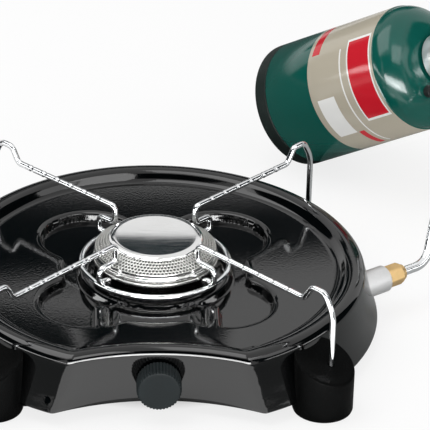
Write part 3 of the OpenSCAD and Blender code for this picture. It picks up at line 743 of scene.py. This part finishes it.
# Burner
def band_mesh(columns, rows):
    """A cone of thin sheet with staggered round holes, each in a square cell of eight faces."""
    verts, faces = [], []
    low_r, high_r = FLANGE_R - 1.4, CAP_R - 0.1
    cell = [(0.0, 0.0), (0.5, 0.0), (1.0, 0.0), (1.0, 0.5), (1.0, 1.0), (0.5, 1.0), (0.0, 1.0), (0.0, 0.5)]
    sides = len(cell)
    for k in range(sides):
        a = 2.0 * math.pi * k / sides + math.radians(225.0)
        cell.append((0.5 + HOLE_SHARE * math.cos(a), 0.5 + HOLE_SHARE * HOLE_STRETCH * math.sin(a)))
    for row in range(rows):
        shift = 0.5 * (row % 2)
        for column in range(columns):
            start = len(verts)
            for u, v in cell:
                t = (row + v) / rows
                r = low_r + (high_r - low_r) * t
                a = 2.0 * math.pi * (column + u + shift) / columns
                verts.append((r * math.cos(a), r * math.sin(a), BAND_Z + (BAND_TOP - BAND_Z) * t))
            for k in range(sides):
                m = (k + 1) % sides
                faces.append((start + k, start + m, start + sides + m, start + sides + k))
    return verts, faces


class STOVE_OT_burner(bpy.types.Operator):
    """Make the burner: bowl, crimped ring, perforated band and dished cap."""
    bl_idname = "stove.burner"
    bl_label = "Burner"

    def execute(self, context):
        sizes = context.scene.stove_sizes
        seat, top = BOSS_TOP_Z, FLANGE_Z + FLANGE_H
        low, floor = seat - 4.5, seat + 1.2
        bowl = [(BURNER_PORT_R, low), (BOWL_SPIGOT_R, low), (BOWL_SPIGOT_R, seat), (FLANGE_R - 9.0, seat),
                (FLANGE_R - 3.0, FLANGE_Z), (FLANGE_R, FLANGE_Z), (FLANGE_R + 0.1, FLANGE_Z + FLANGE_H / 2),
                (FLANGE_R, top), (RING_IN, top), (FLANGE_R - 10.2, floor), (BURNER_PORT_R, floor),
                (BURNER_PORT_R, low)]
        turned_piece("burner_bowl_pressing", soften(bowl, 0.9), "stove", "burner",
                     "burner_bowl")
        rolled = [(RING_IN, top), (FLANGE_R - 1.4, top), (FLANGE_R - 0.4, top + 0.9),
                  (FLANGE_R - 0.4, top + 3.0), (FLANGE_R - 1.6, top + 4.2), (FLANGE_R - 1.4, BAND_Z),
                  (RING_IN, BAND_Z), (RING_IN, top)]
        turned_piece("burner_ring_rolled", soften(rolled, 0.9), "stove", "burner",
                     "burner_ring")
        mesh = write_mesh("burner_band_perforated", *band_mesh(sizes.hole_columns, sizes.hole_rows))
        band = place_piece("burner_band_perforated", mesh, "stove", "screen", "burner_band")
        thicken(band, BAND_T)
        z = BAND_TOP
        cap = [(r, z + CAP_CENTRE_Z + CAP_DISH * (r / CAP_FLAT_R) ** 2)
               for r in (0.0, 5.0, 10.0, 15.0, 20.0, 24.0, 27.0, CAP_FLAT_R)]
        cap += [(30.5, z + 2.02), (31.8, z + 1.93), (32.9, z + 1.66), (33.8, z + 1.2), (34.35, z + 0.65),
                (CAP_R, z + 0.1), (34.2, z - 0.3), (33.2, z), (31.5, z + 0.1), (28.5, z + 0.8),
                (0.0, z + 0.4)]
        turned_piece("burner_cap_dished", cap, "stove", "burner_cap", "burner_cap")
        return {"FINISHED"}


# Knob
class STOVE_OT_knob(bpy.types.Operator):
    """Mould the fluted knob."""
    bl_idname = "stove.knob"
    bl_label = "Knob"

    def execute(self, context):
        count = context.scene.stove_sizes.flutes
        back, face, radius = KNOB_BACK, KNOB_FACE, KNOB_R

        def flute(angle, r, height):
            depth = FLUTE_DEPTH * smooth_step(radius - 1.8, radius - 0.4, r)
            return r - depth * (0.5 + 0.5 * math.cos(count * angle)) ** 2

        seat = back + 5.2
        profile = soften([(KNOB_BORE, seat), (10.2, seat), (10.2, back), (radius, back), (radius, face - 1.6),
                          (radius - 1.3, face - 0.2), (radius - 3.0, face), (0.0, face)], 0.6)
        turned_piece("control_knob_moulding", profile, "knob", "knob", "control_knob",
                     knob_frame(), count * 8, flute, 50.0)
        return {"FINISHED"}


# Gas line
def hexagon(angle, radius, height):
    """Flats of a nut with its corners turned off."""
    flat = NUT_FLAT / math.cos((angle + math.pi / 6) % (math.pi / 3) - math.pi / 6)
    return min(radius, flat) if radius > NUT_FACE_R else radius


class STOVE_OT_gas_line(bpy.types.Operator):
    """Make the inlet sleeve, the brass coupling nut and the bent pipe."""
    bl_idname = "stove.gas_line"
    bl_label = "Gas line"

    def execute(self, context):
        start, end, place = SLEEVE_FROM, SLEEVE_END, inlet_frame()
        socket, stub = end - 8.0, end + 6.0
        sleeve = [(TUBE_BORE, start), (SLEEVE_R - 0.4, start), (SLEEVE_R, start + 0.6), (SLEEVE_R, end - 0.8),
                  (SLEEVE_R - 0.6, end), (SPIGOT_R, end), (SPIGOT_R, stub), (PIPE_BORE, stub),
                  (PIPE_BORE, socket), (GAS_BORE, socket), (GAS_BORE, SLEEVE_SEAT), (TUBE_BORE, SLEEVE_SEAT),
                  (TUBE_BORE, start)]
        turned_piece("inlet_sleeve_turned", soften(sleeve, 0.4), "stove", "sleeve",
                     "inlet_sleeve", place, SMALL_TURN_STEPS)
        start = end + 0.3
        stop, seat = start + NUT_LEN, start + NUT_SEAT
        nut = [(NUT_BORE, start), (7.4, start), (NUT_R, start + 1.0), (NUT_R, stop - 4.6), (7.3, stop - 3.2),
               (6.4, stop - 2.9), (6.0, stop - 0.6), (5.2, stop), (PIPE_BORE, stop), (PIPE_BORE, seat),
               (NUT_BORE, seat), (NUT_BORE, start)]
        turned_piece("coupling_nut_turned", soften(nut, 0.35), "nut", "brass", "coupling_nut", place,
                     NUT_STEPS, hexagon)
        inlet = place.to_3x3() @ Vector((0.0, 0.0, 1.0))
        valve = Vector((0.0, VALVE_Y, VALVE_Z))
        axis = bottle_frame().to_3x3() @ Vector((0.0, 0.0, 1.0))
        bend = valve + inlet * BEND_AT
        port = Vector(BOTTLE_FOOT) + axis * REG_PORT
        rise = (port - bend).normalized()
        path = bent_path([valve + inlet * (end - 6.0), bend, port - rise * 16.0], (0.0, BEND_R, 0.0), 1.2)
        mesh = write_mesh("supply_pipe_bent", *tube(path, PIPE_R, PIPE_SIDES), sharp=60.0)
        place_piece("supply_pipe_bent", mesh, "supply", "pipe", "supply_pipe")
        return {"FINISHED"}


# Regulator
def ribs(angle, radius, height):
    """Grip ribs round the edge of the regulator's cap."""
    if radius < CAP_RIB_FROM:
        return radius
    return radius - CAP_RIB_DEPTH * (0.5 + 0.5 * math.cos(CAP_RIBS * angle)) ** 2


class STOVE_OT_regulator(bpy.types.Operator):
    """Make the regulator's ribbed cap."""
    bl_idname = "stove.regulator"
    bl_label = "Regulator"

    def execute(self, context):
        z = REG_CAP
        cap = [(0.0, z + 10.4), (19.5, z + 9.4), (19.5, z), (25.4, z), (26.0, z + 0.6), (26.0, z + 5.2),
               (25.2, z + 6.2), (22.4, z + 6.6), (21.8, z + 10.6), (20.4, z + 11.8), (12.0, z + 11.9),
               (10.5, z + 11.2), (0.0, z + 11.2)]
        turned_piece("regulator_cap_moulding", soften(cap, 0.7), "supply", "cap",
                     "regulator_cap", bottle_frame(), CAP_RIBS * 6, ribs, 50.0)
        return {"FINISHED"}


# Bottle
def bottle_profile():
    """Outer outline of the shell: bottom, side, seam at the shoulder, dome and neck collar."""
    low, rise = BASE_RING_H, BOTTLE_TOP - BOTTLE_SHOULDER - 0.7
    points = [(0.0, 4.0), (36.0, 4.0), (42.0, low - 4.0), (45.2, low + 0.1), (49.2, low + 0.05),
              (BOTTLE_R, low + 0.9), (BOTTLE_R, 70.0), (BOTTLE_R, BOTTLE_SHOULDER - 1.2),
              (BOTTLE_R - 0.15, BOTTLE_SHOULDER - 0.3), (BOTTLE_R - 0.75, BOTTLE_SHOULDER + 0.1)]
    for i in range(1, 21):
        a = math.radians(4.3 * i)
        points.append((NECK_R + DOME_R * math.cos(a), BOTTLE_SHOULDER + 0.3 + rise * math.sin(a)))
    return points + [(NECK_R, BOTTLE_TOP - 0.3), (15.2, BOTTLE_TOP), (12.9, BOTTLE_TOP)]


class STOVE_OT_bottle(bpy.types.Operator):
    """Spin the gas bottle with its printed band and base ring."""
    bl_idname = "stove.bottle"
    bl_label = "Gas bottle"

    def execute(self, context):
        place = bottle_frame()
        shell = turned_piece("bottle_shell_painted", bottle_profile(), "bottle", "bottle",
                             "cylinder_shell", place, sharp=50.0)
        along = shell.data.attributes.new("along", "FLOAT", "POINT")
        around = shell.data.attributes.new("around", "FLOAT", "POINT")
        local = place.inverted()
        for i, vert in enumerate(shell.data.vertices):
            p = local @ vert.co
            along.data[i].value = p.z / MM
            around.data[i].value = (math.atan2(p.y, p.x) / (2.0 * math.pi)) % 1.0
        ring = [(BASE_RING_IN, 0.4), (46.0, 0.0), (48.8, 0.0), (49.8, 0.9), (BOTTLE_R, 2.4),
                (BOTTLE_R, BASE_RING_H - 0.5), (49.6, BASE_RING_H), (BASE_RING_IN, BASE_RING_H),
                (BASE_RING_IN, 0.4)]
        turned_piece("bottle_base_ring", soften(ring, 0.5), "bottle", "base_ring",
                     "cylinder_base_ring", place)
        return {"FINISHED"}


# Solids that keep their own shape
KEPT = {
    "zinc": ("foot_screws", "burner_screws", "burner_nuts", "mount_nut", "valve_needle", "regulator_spring"),
    "tube": ("mixing_tube", "air_shutter", "inlet_tube"),
    "brass": ("gas_jet", "valve_body", "valve_stem", "pipe_ferrule", "cylinder_valve"),
    "regulator": ("regulator_body",),
    "rubber": ("regulator_diaphragm", "regulator_seal"),
    "cap": ("relief_valve",),
}


class STOVE_OT_kept_solids(bpy.types.Operator):
    """Give the small turned and pressed pieces their finishes."""
    bl_idname = "stove.kept_solids"
    bl_label = "Small pieces"

    def execute(self, context):
        for finish, nodes in KEPT.items():
            for node in nodes:
                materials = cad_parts[node].data.materials
                materials.clear()
                materials.append(MATERIALS[finish])
        return {"FINISHED"}


# Stage
CAMERA_EYE = (-0.0542, -1.9081, 1.1210)
CAMERA_AIM = (0.0509, 0.1625, 0.0)
CAMERA_ROLL = 1.55
CAMERA_LENS, SENSOR_W, CLIP_END = 250.7, 36.0, 50.0
AMBIENT = 0.55
FLOOR_REACH, FLOOR_GLOW, FLOOR_CLEAR_FROM, FLOOR_CLEAR_TO = 6.0, 0.8, 0.095, 0.125

# Place, aim, width, height and power
SOFT_BOXES = {
    "key": ((-0.6, 0.15, 1.6), (0.1, 0.1, 0.0), 1.4, 1.4, 15.0),
    "front": ((0.1, -2.4, 0.52), (0.05, 0.0, 0.1), 1.5, 0.3, 20.0),
    "fill": ((1.5, -0.5, 1.2), (0.0, 0.0, 0.0), 0.8, 0.8, 4.0),
}


def level(z, x0, x1, y0, y1):
    """Corners of a level sheet."""
    return [(x0, y0, z), (x1, y0, z), (x1, y1, z), (x0, y1, z)]


def facing_x(x, y0, y1, z0, z1):
    """Corners of an upright sheet that faces along X."""
    return [(x, y0, z0), (x, y1, z0), (x, y1, z1), (x, y0, z1)]


def facing_y(y, x0, x1, z0, z1):
    """Corners of an upright sheet that faces along Y."""
    return [(x0, y, z0), (x1, y, z0), (x1, y, z1), (x0, y, z1)]


# Colour and glow of the cards
PALE, WHITE = (0.9, 0.9, 0.9), (1.0, 1.0, 1.0, 1.0)
CARD_FINISHES = {
    "black": ((0.012, 0.020, 0.024), 0.0), "grey": ((0.10, 0.11, 0.11), 0.0),
    "dim": ((0.22, 0.23, 0.23), 0.0), "mid_grey": ((0.45, 0.46, 0.46), 0.0),
    "white": (PALE, 1.2), "window": (PALE, 2.5), "above": (PALE, 3.0),
    "side_soft": (PALE, 4.0), "side": (PALE, 7.0), "lamp": (PALE, 18.0),
}

# Finish and corners of the cards that the enamel, metal and paint mirror
LIFT = 0.001
CARDS = {
    "back": ("black", [(-0.6, 1.5, 0.78), (0.6, 1.5, 0.78), (0.6, 1.5, 0.833), (-0.6, 1.5, 0.963)]),
    "band": ("black", [(-0.6, 1.5, 0.90), (0.0, 1.5, 0.962), (0.0, 1.5, 1.06), (-0.6, 1.5, 1.06)]),
    "slant": ("black", [(-2.2, -2.6, 2.4), (2.2, -2.6, 2.4), (2.2, -1.4, 2.6), (-2.2, -1.4, 2.6)]),
    "lobes": ("black", facing_y(1.5, -0.6, 0.6, 0.2, 0.735)),
    "front": ("black", facing_y(-2.6, -2.2, 2.2, 1.1, 2.4)),
    "window": ("window", facing_y(-2.45, -1.7, 1.7, 0.2, 0.9)),
    "lamp": ("lamp", facing_y(-2.4, -1.65, 1.65, 0.28, 1.1)),
    "left": ("black", facing_x(-1.7, -1.4, 1.6, 0.02, 1.9)),
    "right": ("black", facing_x(1.7, -1.4, 1.2, 0.02, 1.9)),
    "side_left": ("side", facing_x(-1.69, -2.0, 0.2, 0.22, 0.4)),
    "side_right": ("side_soft", facing_x(1.69, -1.2, 0.1, 0.22, 0.4)),
    "above": ("above", level(1.6, 0.3, 1.2, -1.2, -0.3)),
    "behind": ("grey", level(LIFT, -1.5, 0.14, 0.17, 1.4)),
    "beside": ("mid_grey", level(LIFT, 0.14, 1.2, -0.1, 0.6)),
    "floor": ("white", level(LIFT, -0.34, 0.34, -0.9, -0.146)),
    "floor_left": ("dim", level(LIFT, -0.34, -1.2, -1.2, -0.2)),
    "floor_right": ("dim", level(LIFT, 0.34, 1.2, -1.2, -0.2)),
    # Painted shade: a black sheet under the pan, seen through the drain hole
    "shade": ("black", level(LIFT, -0.1, -0.055, -0.122, -0.09)),
}
# The shade card is a black sheet that paints the shade in the space behind the drain hole, so the camera sees
# it too
PAINTED_SHADE_CARD = "shade"


def aimed(eye, target, roll=0.0):
    """A matrix that looks from eye to target, rolled by so many degrees."""
    ahead = (Vector(target) - Vector(eye)).normalized()
    right = ahead.cross(Vector((0.0, 0.0, 1.0))).normalized()
    up = right.cross(ahead)
    c, s = math.cos(math.radians(roll)), math.sin(math.radians(roll))
    right, up = right * c + up * s, up * c - right * s
    turn = Matrix((right, up, -ahead)).transposed().to_4x4()
    return Matrix.Translation(Vector(eye)) @ turn


def soft_box(name, eye, target, width, height, power):
    """A wide lamp that the camera doesn't see."""
    lamp = bpy.data.lights.new(name, "AREA")
    lamp.shape = "RECTANGLE"
    lamp.size = width
    lamp.size_y = height
    lamp.energy = power
    item = bpy.data.objects.new(name, lamp)
    item.matrix_world = aimed(eye, target)
    item.visible_camera = False
    bpy.context.scene.collection.objects.link(item)


def set_world():
    """White to the camera, to mirrors and through glass, and softer as a light."""
    world = bpy.data.worlds.new("studio")
    world.use_nodes = True
    bpy.context.scene.world = world
    tree = world.node_tree
    path = add_node(tree, "LightPath", {})
    seen = path["Is Camera Ray"]
    for ray in ("Is Glossy Ray", "Is Transmission Ray"):
        seen = add_node(tree, "Math", {0: seen, 1: path[ray]}, operation="MAXIMUM")[0]
    strength = add_node(tree, "MapRange", {"Value": seen, "To Min": AMBIENT, "To Max": 1.0})["Result"]
    feed(tree, tree.nodes["Background"], {"Color": WHITE, "Strength": strength})


def floor_finish():
    """A pale floor, nearly white to the camera, that keeps a faint shadow and is dark under the pan."""
    f = Finish("floor_pale", PALE, 0.9)
    f.set({"Specular IOR Level": 0.0})
    far = add_node(f.tree, "VectorMath", {0: f.where}, operation="LENGTH")["Value"]
    entries = {"Value": far, "From Min": FLOOR_CLEAR_FROM, "From Max": FLOOR_CLEAR_TO}
    clear = add_node(f.tree, "MapRange", entries)["Result"]
    seen = add_node(f.tree, "LightPath", {})["Is Camera Ray"]
    share = f.math("MULTIPLY", f.math("MULTIPLY", clear, seen), FLOOR_GLOW)
    glow = add_node(f.tree, "Emission", {"Strength": 1.0})["Emission"]
    mix = add_node(f.tree, "MixShader", {"Fac": share, 1: f.shader.outputs["BSDF"], 2: glow})["Shader"]
    feed(f.tree, f.tree.nodes["Material Output"], {"Surface": mix})
    return f.material


def card_finish(name, colour, glow):
    """A plain card: matt, or glowing to light what mirrors it."""
    f = Finish(name, colour, 1.0)
    f.set({"Specular IOR Level": 0.0, "Emission Color": WHITE, "Emission Strength": glow})
    return f.material


def stage_sheet(name, corners, material):
    """One flat sheet of the stage."""
    mesh = bpy.data.meshes.new(name)
    mesh.from_pydata(corners, [], [(0, 1, 2, 3)])
    mesh.materials.append(material)
    sheet = bpy.data.objects.new(name, mesh)
    bpy.context.scene.collection.objects.link(sheet)
    return sheet


class STOVE_OT_stage(bpy.types.Operator):
    """Set the floor, the cards, the soft lights and the camera."""
    bl_idname = "stove.stage"
    bl_label = "Stage"

    def execute(self, context):
        scene = context.scene
        scene.view_settings.view_transform = "Standard"
        stage_sheet("floor", level(0.0, -FLOOR_REACH, FLOOR_REACH, -FLOOR_REACH, FLOOR_REACH), floor_finish())
        finishes = {name: card_finish("card_" + name, *look) for name, look in CARD_FINISHES.items()}
        for name, (finish, corners) in CARDS.items():
            card = stage_sheet("card_" + name, corners, finishes[finish])
            card.visible_camera = name == PAINTED_SHADE_CARD
            card.visible_diffuse = False
            card.visible_shadow = False
        set_world()
        for name, box in SOFT_BOXES.items():
            soft_box(name, *box)
        lens = bpy.data.cameras.new("camera")
        lens.lens = CAMERA_LENS
        lens.sensor_width = SENSOR_W
        lens.clip_end = CLIP_END
        camera = bpy.data.objects.new("camera", lens)
        camera.matrix_world = aimed(CAMERA_EYE, CAMERA_AIM, CAMERA_ROLL)
        scene.collection.objects.link(camera)
        scene.camera = camera
        return {"FINISHED"}


OPERATORS = (STOVE_OT_base_pan, STOVE_OT_feet, STOVE_OT_grate, STOVE_OT_burner, STOVE_OT_knob,
             STOVE_OT_gas_line, STOVE_OT_regulator, STOVE_OT_bottle, STOVE_OT_kept_solids, STOVE_OT_stage)


class STOVE_PT_pieces(bpy.types.Panel):
    """Lists the stove's pieces."""
    bl_label = "Camping stove"
    bl_idname = "STOVE_PT_pieces"
    bl_space_type = "VIEW_3D"
    bl_region_type = "UI"
    bl_category = "Stove"

    def draw(self, context):
        for operator in OPERATORS:
            self.layout.operator(operator.bl_idname)
        for group in (context.scene.stove_sizes, context.scene.stove_colours):
            box = self.layout.box()
            for name in group.bl_rna.properties.keys():
                if name not in ("rna_type", "name"):
                    box.prop(group, name)


CLASSES = (StoveSizes, StoveColours) + OPERATORS + (STOVE_PT_pieces,)


def register():
    for item in CLASSES:
        bpy.utils.register_class(item)
    bpy.types.Scene.stove_sizes = PointerProperty(type=StoveSizes)
    bpy.types.Scene.stove_colours = PointerProperty(type=StoveColours)


def unregister():
    del bpy.types.Scene.stove_colours
    del bpy.types.Scene.stove_sizes
    for item in reversed(CLASSES):
        bpy.utils.unregister_class(item)


def main():
    register()
    make_materials(bpy.context.scene.stove_colours)
    bpy.ops.stove.base_pan()
    bpy.ops.stove.feet()
    bpy.ops.stove.grate()
    bpy.ops.stove.burner()
    bpy.ops.stove.knob()
    bpy.ops.stove.gas_line()
    bpy.ops.stove.regulator()
    bpy.ops.stove.bottle()
    bpy.ops.stove.kept_solids()
    bpy.ops.stove.stage()


if __name__ == "__main__":
    main()
